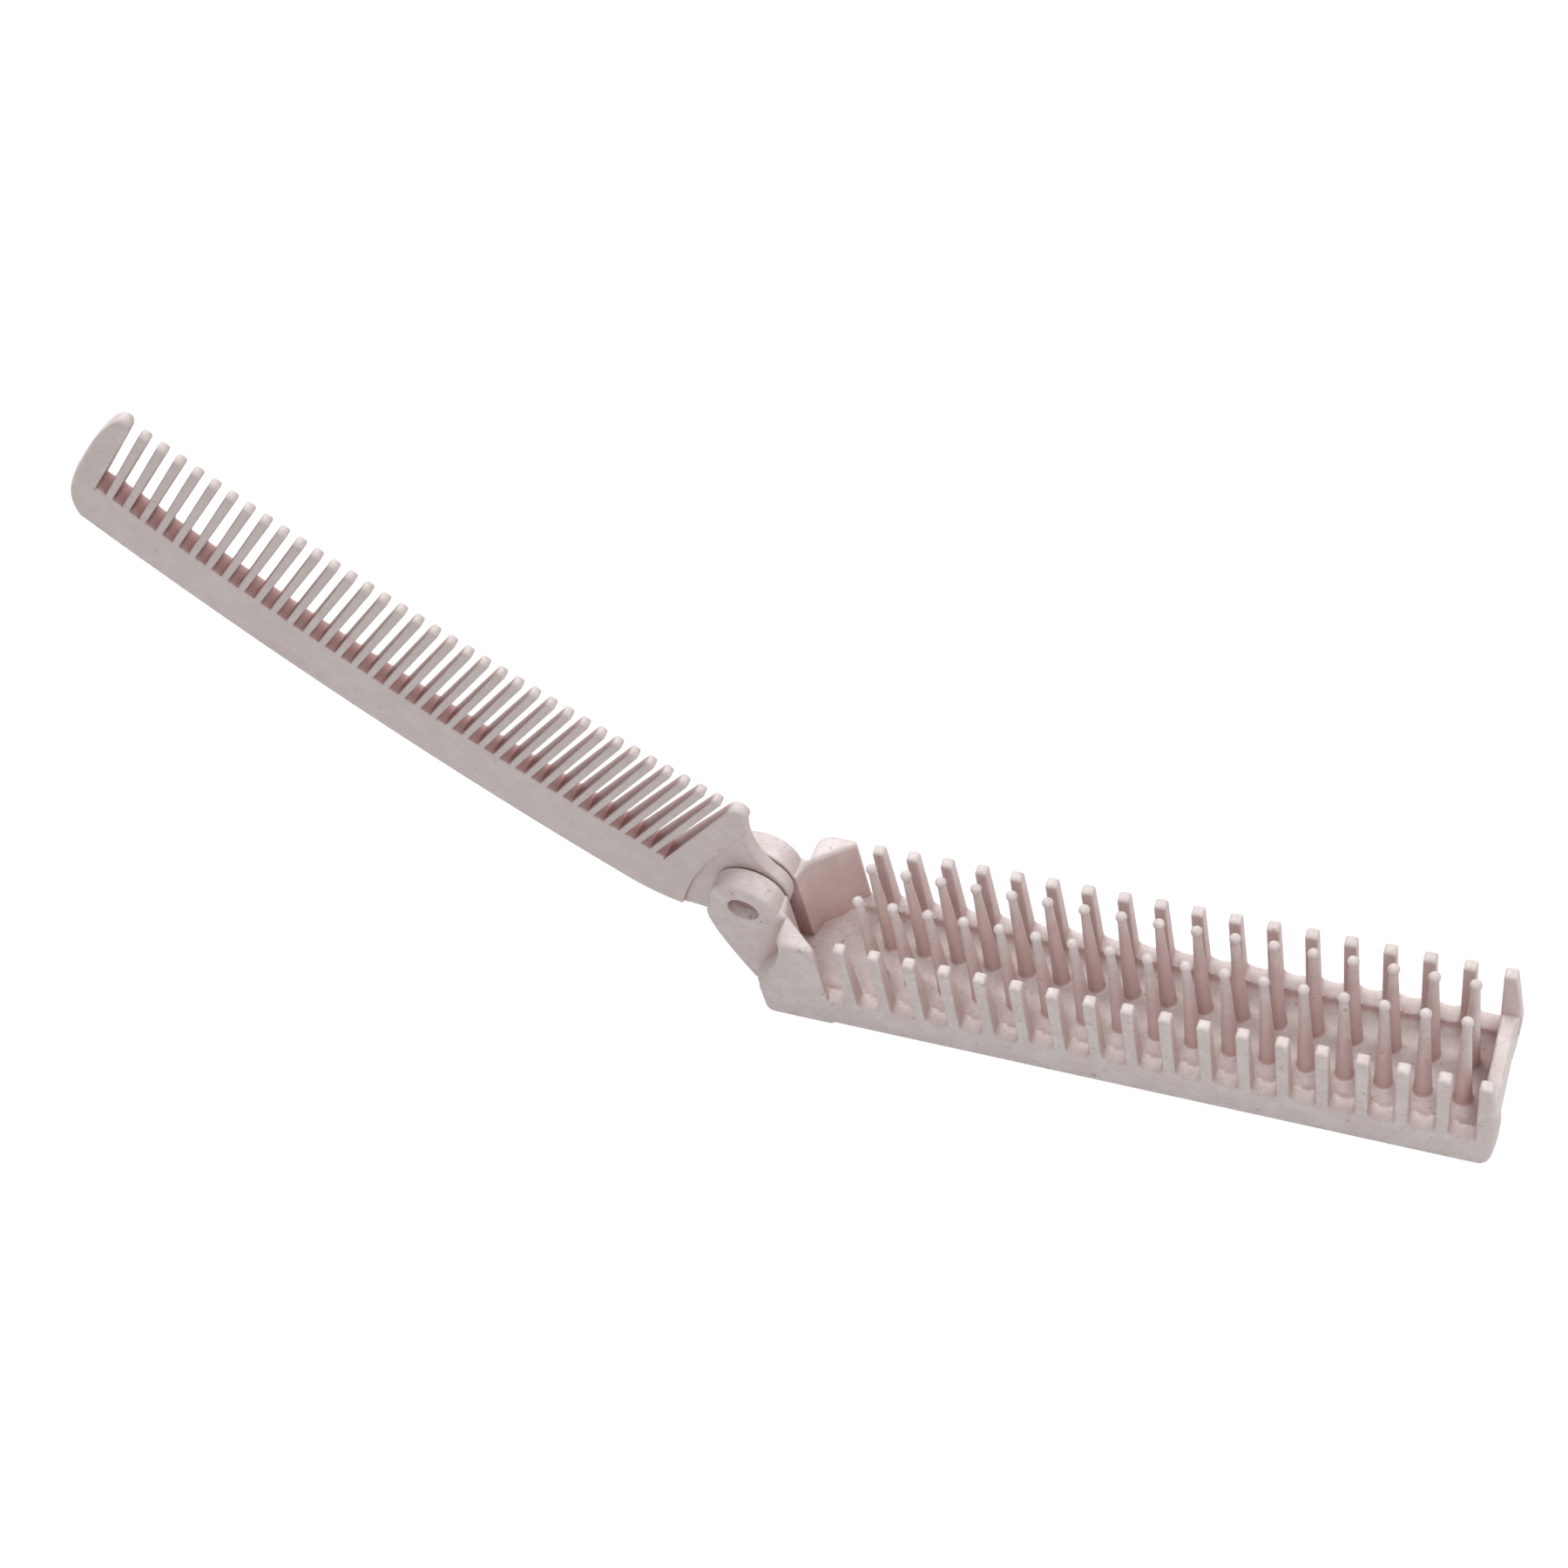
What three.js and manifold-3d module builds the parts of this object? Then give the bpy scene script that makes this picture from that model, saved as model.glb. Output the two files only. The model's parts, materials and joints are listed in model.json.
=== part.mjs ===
// Folding comb: a channel-shaped brush moulding and a bowed comb moulding that turn on one hinge pin.
// Millimetres, +Z up, +X from the hinge to the brush's free end, origin at the middle of the underside.

import * as THREE from 'three';
import { mergeVertices } from 'three/addons/utils/BufferGeometryUtils.js';
import Module from 'manifold-3d';

// Brush channel
const bodyLength = 97.3;
const bodyWidth = 18.6;
const bodyCornerRadius = 1.5;
const bodyBottomRadius = 0.7;
const bodyEndTuck = 0.8;
const floorThickness = 3.7;
const wallThickness = 2.5;

// Flat teeth cut into the two side walls
const wallToothCount = 18;
const wallToothWidth = 1.6;
const wallTopThickness = 1.65;
const wallTopRound = 0.5;
const firstWallToothInset = 13.9;
const lastWallToothInset = 1.8;
const firstWallSlotWidth = 2.8;
const wallSlotFloor = 5.5;
const wallSlotCorner = 0.6;
const tipHeightAtHinge = 18.1;
const tipHeightMiddle = 17.85;
const tipHeightAtEnd = 16.9;

// End lip between the last wall teeth, hollowed outside so that the comb's end guard can pass it
const lipHeight = 9.5;
const lipThickness = 1.85;
const lipRecess = 0.65;
const recessHalfWidth = 7.8;
const recessFlank = 2.2;

// Two rows of round pins with ball tips
const pinCount = 17;
const pinLead = 1.4;
const pinRowOffset = 2.65;
const pinBaseRadius = 1.2;
const pinNeckRadius = 0.58;
const pinBallRadius = 0.8;
const pinBallHeight = 21.35;
const pinRoot = 0.6;

// Ears and wedge blocks at the hinge end
const pivotHeight = 17.2;
const pivotOverhang = 1.15;
const earRadius = 5;
const earThickness = 3.45;
const earGap = 3;
const earBulgeReach = 6.1;
const earBulgeDrop = 3;
const earFootReach = 3.4;
const earFootDrop = 13.6;
const earHeelReach = 2.3;
const blockHeight = 17.6;
const blockLength = 5.5;
const blockEdgeThickness = 0.8;
const blockRadius = 1.8;
const blockFootRadius = 0.9;
const blockMouthRadius = 0.6;
const throatReach = 5.3;
const throatStepLength = 5.5;
const throatStepHalfWidth = 4;
const sweepFoot = 6.6;
const sweepBelly = 11.2;

// Hinge pin
const pinHoleRadius = 2.2;
const hingePinClearance = 0.25;
const hingePinRecess = 1.4;
const hingePinChamfer = 0.3;

// Comb moulding, measured from the pivot along the comb and towards its tooth tips
const raisedAngle = THREE.MathUtils.degToRad(43.2);
const slotCount = 36;
const slotWidth = 1.42;
const slotStart = 12;
const rootDepth = 5.3;
const toothLengthAtHinge = 18;
const toothLengthAtEnd = 14.9;
const toothTipWidth = 1.3;
const toothLean = 0.12;
const spineDepthAtHinge = 10.3;
const spineDepthAtEnd = 8.3;
const rootArch = 2.2;
const tipArch = 2.3;
const backArch = 2.1;
const combThickness = 3.5;
const toothTipThickness = 1.6;
const guardTipThickness = 2;
const backRadius = 0.9;
const endGuardWidth = 3.2;
const endGuardRise = 0.7;
const endGuardCrown = 1.5;
const endGuardDrop = 0.9;
const endGuardShoulder = 6.5;
const endGuardBulge = 3.2;
const endGuardHeel = 11;
const endGuardGap = 0.31;
const tongueThickness = 2;
const tongueRadius = 5.2;
const tongueHeelReach = 1;
const tongueHeelDepth = 11.6;
const hingeGuardRise = 0.8;
const hingeGuardTip = 1.4;
const pocketReach = 7.15;
const stopGap = 0.5;

// Thumb scallops on both faces of the spine, by the back edge
const scallopPlace = 67.4;
const scallopLength = 12.4;
const scallopHeight = 2.7;
const scallopInset = 2;
const scallopDepth = 0.5;

// Fineness of curves, and how far cutters run past what they cut
const archSteps = 20;
const roundSteps = 5;
const pinSides = 10;
const boreSides = 32;
const overrun = 3;

// Places worked out from the sizes
const hingeEnd = -bodyLength / 2;
const freeEnd = bodyLength / 2;
const halfWidth = bodyWidth / 2;
const pivotX = hingeEnd - pivotOverhang;
const lipFace = freeEnd - lipRecess;
const firstWallTooth = hingeEnd + firstWallToothInset;
const lastWallTooth = freeEnd - lastWallToothInset;
const wallToothPitch = (lastWallTooth - firstWallTooth) / (wallToothCount - 1);
const earInner = earGap / 2;
const earOuter = earInner + earThickness;
const blockFace = firstWallTooth - wallToothWidth / 2 - firstWallSlotWidth;
const lastSlot = lipFace + endGuardGap - slotWidth / 2 - pivotX;
const slotSpan = lastSlot - slotStart;
const slotPitch = slotSpan / (slotCount - 1);
const quarterTurn = Math.PI / 2;

const wasm = await Module();
wasm.setup();

// Closed three.js geometry to a solid that can be joined and cut
function solid(geometry) {
  const bare = geometry.index ? geometry.toNonIndexed() : geometry.clone();
  for (const name of Object.keys(bare.attributes)) {
    if (name !== 'position') bare.deleteAttribute(name);
  }
  const merged = mergeVertices(bare, 1e-5);
  return new wasm.Manifold(new wasm.Mesh({
    numProp: 3,
    vertProperties: Float32Array.from(merged.attributes.position.array),
    triVerts: Uint32Array.from(merged.index.array),
  }));
}

// Solid back to a named mesh with its own material
function namedMesh(name, body, look) {
  const data = body.getMesh();
  const geometry = new THREE.BufferGeometry();
  geometry.setAttribute('position', new THREE.BufferAttribute(data.vertProperties, data.numProp));
  geometry.setIndex(new THREE.BufferAttribute(data.triVerts, 1));
  geometry.computeVertexNormals();
  const mesh = new THREE.Mesh(geometry, new THREE.MeshStandardMaterial(look));
  mesh.name = name;
  return mesh;
}

const point = (x, y) => new THREE.Vector2(x, y);
const mirrored = (body) => body.mirror([0, 1, 0]);
const joined = (bodies) => bodies.reduce((sum, body) => sum.add(body));

// Side outline in X and Z pushed across Y, plan outline in X and Y pushed up Z, and section outline
// in Y and Z pushed along X
function extrudeAcross(outline, yLow, yHigh) {
  const geometry = new THREE.ExtrudeGeometry(new THREE.Shape(outline), {
    depth: yHigh - yLow,
    bevelEnabled: false,
  });
  geometry.translate(0, 0, -yHigh);
  geometry.rotateX(quarterTurn);
  return solid(geometry);
}

function extrudeUp(outline, zLow, zHigh) {
  const geometry = new THREE.ExtrudeGeometry(new THREE.Shape(outline), {
    depth: zHigh - zLow,
    bevelEnabled: false,
  });
  geometry.translate(0, 0, zLow);
  return solid(geometry);
}

function extrudeAlong(outline, xLow, xHigh) {
  const geometry = new THREE.ExtrudeGeometry(new THREE.Shape(outline), {
    depth: xHigh - xLow,
    bevelEnabled: false,
  });
  geometry.translate(0, 0, xLow);
  geometry.applyMatrix4(new THREE.Matrix4().makeBasis(
    new THREE.Vector3(0, 1, 0),
    new THREE.Vector3(0, 0, 1),
    new THREE.Vector3(1, 0, 0),
  ));
  return solid(geometry);
}

// Points on an arc from one angle to another, both ends included
function arc(centreX, centreY, radius, from, to, steps) {
  const points = [];
  for (let i = 0; i <= steps; i += 1) {
    const angle = from + (to - from) * (i / steps);
    points.push(point(centreX + radius * Math.cos(angle), centreY + radius * Math.sin(angle)));
  }
  return points;
}

// Points on a curve drawn from one end to the other towards a control point, without its first end
function bend(start, control, end, steps) {
  return new THREE.QuadraticBezierCurve(start, control, end).getPoints(steps).slice(1);
}

// Closed skin over rings of equal, convex sections
function loft(rings) {
  const sides = rings[0].length;
  const positions = rings.flat().flatMap((vertex) => [vertex.x, vertex.y, vertex.z]);
  const faces = [];
  for (let ring = 0; ring + 1 < rings.length; ring += 1) {
    for (let side = 0; side < sides; side += 1) {
      const near = ring * sides + side;
      const beside = ring * sides + ((side + 1) % sides);
      faces.push(near, beside, beside + sides, near, beside + sides, near + sides);
    }
  }
  const last = (rings.length - 1) * sides;
  for (let side = 1; side + 1 < sides; side += 1) {
    faces.push(0, side + 1, side);
    faces.push(last, last + side, last + side + 1);
  }
  const geometry = new THREE.BufferGeometry();
  geometry.setAttribute('position', new THREE.Float32BufferAttribute(positions, 3));
  geometry.setIndex(faces);
  return solid(geometry);
}

// Round bar along Y with both ends chamfered
function barAcross(radius, halfLength, chamfer) {
  const profile = [
    point(0, -halfLength),
    point(radius - chamfer, -halfLength),
    point(radius, chamfer - halfLength),
    point(radius, halfLength - chamfer),
    point(radius - chamfer, halfLength),
    point(0, halfLength),
  ];
  return solid(new THREE.LatheGeometry(profile, boreSides));
}

// Block with rounded edges that trims the whole channel, and whose free end tucks in below the lip's top
function bodyEnvelope(left, top) {
  const rings = [];
  for (let step = 0; step <= roundSteps; step += 1) {
    const angle = quarterTurn * (step / roundSteps);
    const inset = bodyBottomRadius * (1 - Math.sin(angle));
    rings.push([inset, bodyBottomRadius * (1 - Math.cos(angle))]);
  }
  const upright = lipHeight - bodyBottomRadius;
  for (let step = 1; step <= roundSteps; step += 1) {
    rings.push([0, bodyBottomRadius + upright * (step / roundSteps)]);
  }
  rings.push([0, top]);
  return loft(rings.map(([inset, height]) => {
    const radius = bodyCornerRadius - inset;
    const shareBelow = Math.max(0, 1 - height / lipHeight);
    const right = freeEnd - bodyCornerRadius - bodyEndTuck * shareBelow * shareBelow;
    const side = halfWidth - bodyCornerRadius;
    const corners = [
      point(left + inset, -halfWidth + inset),
      ...arc(right, -side, radius, -quarterTurn, 0, roundSteps),
      ...arc(right, side, radius, 0, quarterTurn, roundSteps),
      point(left + inset, halfWidth - inset),
    ];
    return corners.map((corner) => new THREE.Vector3(corner.x, corner.y, height));
  }));
}

// Height of the wall teeth's tips: a shallow bow that is lower towards the free end
function tipHeight(x) {
  const span = (lastWallTooth - firstWallTooth) / 2;
  const along = (x - firstWallTooth) / span - 1;
  const tilt = (tipHeightAtEnd - tipHeightAtHinge) / 2;
  const bow = (tipHeightAtEnd + tipHeightAtHinge) / 2 - tipHeightMiddle;
  return tipHeightMiddle + tilt * along + bow * along * along;
}

// Section of a side wall along its length: upright to the slots, then thinning to rounded tooth tips
function wallEnvelope() {
  const rings = [];
  const first = blockFace - overrun;
  const last = freeEnd + overrun;
  const middle = halfWidth - wallThickness / 2;
  const flat = wallTopThickness / 2 - wallTopRound;
  for (let i = 0; i <= archSteps; i += 1) {
    const x = first + (last - first) * (i / archSteps);
    const shoulder = tipHeight(x) - wallTopRound;
    const section = [
      point(halfWidth - wallThickness, 0),
      point(halfWidth, 0),
      point(halfWidth, wallSlotFloor),
      ...arc(middle + flat, shoulder, wallTopRound, 0, quarterTurn, roundSteps - 2),
      ...arc(middle - flat, shoulder, wallTopRound, quarterTurn, Math.PI, roundSteps - 2),
      point(halfWidth - wallThickness, wallSlotFloor),
    ];
    rings.push(section.map((corner) => new THREE.Vector3(x, corner.x, corner.y)));
  }
  return loft(rings);
}

// One side wall: a comb of flat teeth with round tops, and slots with rounded lower corners
function toothedWall() {
  const radius = wallToothWidth / 2;
  const outline = [point(blockFace - overrun, 0), point(blockFace - overrun, wallSlotFloor)];
  for (let i = 0; i < wallToothCount; i += 1) {
    const x = firstWallTooth + i * wallToothPitch;
    const shoulder = tipHeight(x) - radius;
    const foot = wallSlotFloor + wallSlotCorner;
    outline.push(point(x - radius - wallSlotCorner, wallSlotFloor), point(x - radius, foot));
    outline.push(...arc(x, shoulder, radius, Math.PI, 0, roundSteps + 1));
    if (i + 1 < wallToothCount) {
      outline.push(point(x + radius, foot), point(x + radius + wallSlotCorner, wallSlotFloor));
    }
  }
  outline.push(point(freeEnd, lipHeight), point(freeEnd, 0));
  return extrudeAcross(outline, halfWidth - wallThickness - overrun, halfWidth + overrun)
    .intersect(wallEnvelope());
}

// Hollow curve that carries the floor up to the level of the slots along the foot of a side wall
function floorFillet() {
  const radius = wallSlotFloor - floorThickness;
  const wall = halfWidth - wallThickness;
  const outline = [
    point(wall - radius, 0),
    ...arc(wall - radius, floorThickness + radius, radius, -quarterTurn, 0, roundSteps),
    point(halfWidth - wallThickness / 2, wallSlotFloor),
    point(halfWidth - wallThickness / 2, 0),
  ];
  return extrudeAlong(outline, blockFace - throatStepLength / 2, freeEnd - lipThickness);
}

// One pin: a tapered shaft that ends in a ball
function ballPin(x, y) {
  const neckAngle = -Math.acos(pinNeckRadius / pinBallRadius);
  const profile = [
    point(0, floorThickness - pinRoot),
    point(pinBaseRadius, floorThickness - pinRoot),
    ...arc(0, pinBallHeight, pinBallRadius, neckAngle, quarterTurn, roundSteps),
  ];
  profile[profile.length - 1].x = 0;
  const geometry = new THREE.LatheGeometry(profile, pinSides);
  geometry.rotateX(quarterTurn);
  geometry.translate(x, y, 0);
  return solid(geometry);
}

// Ear edge that faces away from the brush, from its round top to its foot, as reach and height
function earEdge() {
  const start = point(earRadius, 0);
  const bulge = point(earBulgeReach, -earBulgeDrop);
  const foot = point(earFootReach, -earFootDrop);
  return [
    start,
    ...bend(start, point(earBulgeReach, -earBulgeDrop / 2), bulge, roundSteps),
    ...bend(bulge, point(earBulgeReach, -earBulgeDrop * 2), foot, roundSteps),
  ];
}

// Wedge block of one side: a plan with rounded outer corners whose back edge sweeps down to the body's end
function wedgeBlock() {
  const footCorner = hingeEnd + bodyBottomRadius;
  const sweepTop = blockFace - blockLength;
  const sweepStart = point(hingeEnd, sweepFoot);
  const profile = [
    ...arc(footCorner, bodyBottomRadius, bodyBottomRadius, 1.5 * Math.PI, Math.PI, roundSteps),
    sweepStart,
    ...bend(sweepStart, point(sweepTop, sweepBelly), point(sweepTop, blockHeight), roundSteps * 2),
  ];
  return loft(profile.map((back) => {
    const radius = blockFootRadius + (blockRadius - blockFootRadius) * (back.y / blockHeight);
    const mouth = halfWidth - blockMouthRadius;
    const plan = [
      point(back.x, 0),
      point(blockFace, 0),
      ...arc(blockFace - blockMouthRadius, mouth, blockMouthRadius, 0, quarterTurn, roundSteps - 2),
      ...arc(back.x + radius, halfWidth - radius, radius, quarterTurn, Math.PI, roundSteps),
    ];
    return plan.map((corner) => new THREE.Vector3(corner.x, corner.y, back.y));
  }));
}

// Ear and wedge block of one side, with the stepped and sloping throat that guides the folded comb
function hingeCheek() {
  const rise = blockHeight - pivotHeight;
  const topEnd = Math.asin(rise / earRadius);
  const edge = earEdge().map((step) => point(pivotX - step.x, pivotHeight + step.y));
  const footCorner = pivotX - earHeelReach + bodyBottomRadius;
  const earOutline = [
    point(blockFace, 0),
    point(blockFace, blockHeight),
    ...arc(pivotX, pivotHeight, earRadius, topEnd, Math.PI, roundSteps * 4).slice(0, -1),
    ...edge,
    ...arc(footCorner, bodyBottomRadius, bodyBottomRadius, Math.PI, 1.5 * Math.PI, roundSteps),
  ];
  const sides = extrudeAcross(earOutline, 0, earOuter).add(wedgeBlock());
  const mouth = halfWidth - blockEdgeThickness;
  const plan = [
    point(pivotX - bodyWidth, earInner),
    point(pivotX + throatReach, earInner),
    point(blockFace - throatStepLength, throatStepHalfWidth),
    point(blockFace, mouth),
    point(blockFace, bodyWidth),
    point(pivotX - bodyWidth, bodyWidth),
  ];
  return sides.intersect(extrudeUp(plan, 0, pivotHeight + earRadius + overrun));
}

function brushHalf() {
  const left = pivotX - earBulgeReach - overrun;
  const wallAndCheek = joined([toothedWall(), floorFillet(), hingeCheek()]);
  const earFoot = pivotX - earHeelReach + bodyBottomRadius;
  const blockFoot = hingeEnd + blockRadius;
  const floor = extrudeUp([
    point(earFoot, -earOuter),
    point(blockFoot, -earOuter),
    point(blockFoot, -halfWidth),
    point(freeEnd, -halfWidth),
    point(freeEnd, halfWidth),
    point(blockFoot, halfWidth),
    point(blockFoot, earOuter),
    point(earFoot, earOuter),
  ], 0, floorThickness);
  const lipEnd = halfWidth - wallThickness / 2;
  const lip = extrudeUp([
    point(lipFace - lipThickness, -lipEnd),
    point(freeEnd, -lipEnd),
    point(freeEnd, lipEnd),
    point(lipFace - lipThickness, lipEnd),
  ], 0, lipHeight);
  const recess = extrudeUp([
    point(freeEnd + overrun, -recessHalfWidth),
    point(freeEnd + overrun, recessHalfWidth),
    point(freeEnd, recessHalfWidth),
    point(lipFace, recessHalfWidth - recessFlank),
    point(lipFace, recessFlank - recessHalfWidth),
    point(freeEnd, -recessHalfWidth),
  ], -overrun, tipHeightAtEnd + overrun);
  const shell = joined([floor, lip, wallAndCheek, mirrored(wallAndCheek)]).subtract(recess);
  const trimmed = shell.intersect(bodyEnvelope(left, pivotHeight + earRadius + overrun));
  const pins = [];
  for (let i = 0; i < pinCount; i += 1) {
    const x = firstWallTooth + pinLead + i * wallToothPitch;
    pins.push(ballPin(x, -pinRowOffset), ballPin(x, pinRowOffset));
  }
  const bore = barAcross(pinHoleRadius, bodyWidth, 0).translate([pivotX, 0, pivotHeight]);
  return joined([trimmed, ...pins]).subtract(bore);
}

// Bowed lines of the comb, as heights towards the tooth tips at a distance from the pivot
const shareAlong = (along) => (along - slotStart) / slotSpan;
const archShare = (share) => 4 * share * (1 - share);

function rootLine(along) {
  return -rootDepth - rootArch * archShare(shareAlong(along));
}

function tipLine(along) {
  const share = shareAlong(along);
  const length = toothLengthAtHinge + (toothLengthAtEnd - toothLengthAtHinge) * share;
  return length - rootDepth - tipArch * archShare(share);
}

function backLine(along) {
  const share = shareAlong(along);
  const depth = spineDepthAtHinge + (spineDepthAtEnd - spineDepthAtHinge) * share;
  return -rootDepth - depth - backArch * archShare(share);
}

// Side outline of the comb: tongue, hinge guard, fine teeth, end guard and spine
function combOutline() {
  const halfSlot = slotWidth / 2;
  const firstEdge = slotStart - halfSlot;
  const lastEdge = lastSlot + halfSlot;
  const apex = tipLine(slotStart) + hingeGuardRise;
  const outline = [];

  outline.push(...arc(0, 0, tongueRadius, Math.PI, quarterTurn, roundSteps * 2));
  const shoulder = point(0, tongueRadius);
  const neck = point(slotStart / 2, tongueRadius + hingeGuardRise);
  const guardSide = point(firstEdge - 2 * hingeGuardTip, apex - hingeGuardTip);
  outline.push(...bend(shoulder, neck, guardSide, roundSteps));
  const guardMiddle = firstEdge - hingeGuardTip;
  outline.push(...arc(guardMiddle, apex - hingeGuardTip, hingeGuardTip, Math.PI, 0, roundSteps));

  for (let i = 0; i < slotCount; i += 1) {
    const centre = slotStart + i * slotPitch;
    outline.push(point(centre - halfSlot, rootLine(centre)), point(centre + halfSlot, rootLine(centre)));
    if (i + 1 < slotCount) {
      const tooth = centre + slotPitch / 2 - toothLean;
      const radius = toothTipWidth / 2;
      outline.push(...arc(tooth, tipLine(tooth) - radius, radius, Math.PI, 0, roundSteps - 1));
    }
  }

  const endTip = tipLine(lastSlot) + endGuardRise;
  const outer = lastEdge + endGuardWidth;
  const inner = point(lastEdge - toothLean, endTip - endGuardDrop);
  const crown = point(lastEdge + endGuardCrown, endTip);
  const bulge = point(outer, -endGuardBulge);
  const heel = point(lastEdge, backLine(lastEdge));
  outline.push(inner, ...bend(inner, point(lastEdge + toothLean, endTip), crown, roundSteps));
  outline.push(...bend(crown, point(outer, endGuardShoulder), bulge, roundSteps * 2));
  outline.push(...bend(bulge, point(outer, -endGuardHeel), heel, roundSteps * 2));

  for (let i = archSteps; i >= 0; i -= 1) {
    const along = slotStart + slotSpan * (i / archSteps);
    outline.push(point(along, backLine(along)));
  }
  const backStart = point(slotStart, backLine(slotStart));
  const backControl = point(slotStart / 2, backLine(slotStart / 2));
  const tongueHeel = point(tongueHeelReach, -tongueHeelDepth);
  const heelControl = point(-tongueRadius, -tongueHeelDepth);
  outline.push(...bend(backStart, backControl, tongueHeel, roundSteps));
  outline.push(...bend(tongueHeel, heelControl, point(-tongueRadius, 0), roundSteps));
  return outline;
}

// Thickness of the comb along its length: flat cheeks, a rounded back and teeth that thin to their tips
function combEnvelope() {
  const rings = [];
  const halfSlot = slotWidth / 2;
  const toothStart = slotStart + halfSlot;
  const toothEnd = lastSlot - halfSlot;
  const places = [-tongueRadius - overrun, slotStart / 2, slotStart - halfSlot];
  for (let i = 0; i <= archSteps; i += 1) {
    places.push(toothStart + (toothEnd - toothStart) * (i / archSteps));
  }
  places.push(lastSlot + halfSlot, lastSlot + endGuardWidth + overrun);
  for (const along of places) {
    const isTooth = along > slotStart && along < lastSlot;
    const tip = (isTooth ? toothTipThickness : guardTipThickness) / 2;
    const cheek = combThickness / 2;
    const back = backLine(along);
    const round = arc(cheek - backRadius, back + backRadius, backRadius, -quarterTurn, 0, roundSteps - 2);
    const half = [
      ...round,
      point(cheek, rootLine(along)),
      point(tip, tipLine(along)),
      point(tip, tipLine(along) + overrun),
    ];
    const other = half.map((corner) => point(-corner.x, corner.y)).reverse();
    rings.push([...half, ...other].map((corner) => new THREE.Vector3(along, corner.x, corner.y)));
  }
  return loft(rings);
}

// Cutter that thins the comb to its tongue, with an edge that fits round the ears when the comb is straight
function tonguePocket() {
  const foot = point(earFootReach + stopGap, -earFootDrop);
  const level = point(pocketReach, 0);
  const outline = [
    point(-slotStart, toothLengthAtHinge),
    point(-slotStart, -slotStart * 2),
    point(earFootReach, -slotStart * 2),
    foot,
    ...bend(foot, point(pocketReach - stopGap / 2, -earBulgeDrop * 2), level, roundSteps * 2),
    point(pocketReach + stopGap, toothLengthAtHinge),
  ];
  return extrudeAcross(outline, tongueThickness / 2, combThickness);
}

// Long shallow scoop in one face, just above the back edge: half of a flattened ball
function thumbScallop() {
  const ball = new THREE.SphereGeometry(1, boreSides, boreSides / 2);
  ball.scale(scallopLength / 2, scallopDepth, scallopHeight / 2);
  ball.translate(scallopPlace, combThickness / 2, backLine(scallopPlace) + scallopInset);
  return solid(ball);
}

function combHalf() {
  const blank = extrudeAcross(combOutline(), -combThickness, combThickness);
  const pocket = tonguePocket();
  const scallop = thumbScallop();
  const bore = barAcross(pinHoleRadius, bodyWidth, 0);
  return blank
    .intersect(combEnvelope())
    .subtract(joined([pocket, mirrored(pocket), bore]))
    .subtract(scallop)
    .subtract(mirrored(scallop));
}

function hingePin() {
  const radius = pinHoleRadius - hingePinClearance;
  return barAcross(radius, earOuter - hingePinRecess, hingePinChamfer);
}

const shell = { color: 0xdcc9c6, roughness: 0.55, metalness: 0 };
const dark = { color: 0xb79a98, roughness: 0.6, metalness: 0 };

const brush = namedMesh('brush_half', brushHalf(), shell);
const comb = namedMesh('comb_half', combHalf(), shell);
comb.rotation.z = Math.PI;
const pin = namedMesh('hinge_pin', hingePin(), dark);

// The comb and its pin are placed at the pivot, and the comb is raised to the angle it is left at
const pivot = new THREE.Group();
pivot.position.set(pivotX, 0, pivotHeight);
const raised = new THREE.Group();
raised.rotation.y = raisedAngle;
raised.add(comb);
pivot.add(raised, pin);

const foldingComb = new THREE.Group();
foldingComb.name = 'folding_comb';
foldingComb.add(brush, pivot);

export default foldingComb;
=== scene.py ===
# Folding comb, dressed: the brush moulding, the comb moulding and the hinge pin that joins them.
# Blender units are metres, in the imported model's frame: +X from the hinge to the brush's free end.

import json
import math

import bmesh
import bpy
from mathutils import Matrix, Vector


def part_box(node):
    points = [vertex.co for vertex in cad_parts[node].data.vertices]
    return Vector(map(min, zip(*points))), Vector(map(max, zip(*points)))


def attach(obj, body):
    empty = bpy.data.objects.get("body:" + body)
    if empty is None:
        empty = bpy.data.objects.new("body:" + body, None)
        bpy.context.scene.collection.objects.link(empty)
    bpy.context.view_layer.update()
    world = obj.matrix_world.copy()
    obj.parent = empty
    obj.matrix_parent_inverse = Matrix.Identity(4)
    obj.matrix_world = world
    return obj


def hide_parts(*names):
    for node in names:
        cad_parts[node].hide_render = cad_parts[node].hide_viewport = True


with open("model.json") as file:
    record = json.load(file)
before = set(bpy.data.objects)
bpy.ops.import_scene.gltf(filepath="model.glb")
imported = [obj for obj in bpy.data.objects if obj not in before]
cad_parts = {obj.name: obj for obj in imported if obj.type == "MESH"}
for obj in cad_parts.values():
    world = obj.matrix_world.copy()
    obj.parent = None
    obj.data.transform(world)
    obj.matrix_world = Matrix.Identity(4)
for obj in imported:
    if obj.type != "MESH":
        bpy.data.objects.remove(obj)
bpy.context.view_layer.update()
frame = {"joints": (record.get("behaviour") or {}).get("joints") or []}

# Channel: the floor and low side walls of the brush moulding, injection moulded in pale pink plastic
# filled with straw fibre. Its rims and lower edges are softly rounded, and the teeth stand on it.
mm = 0.001
quarter_turn = math.pi / 2

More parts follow.
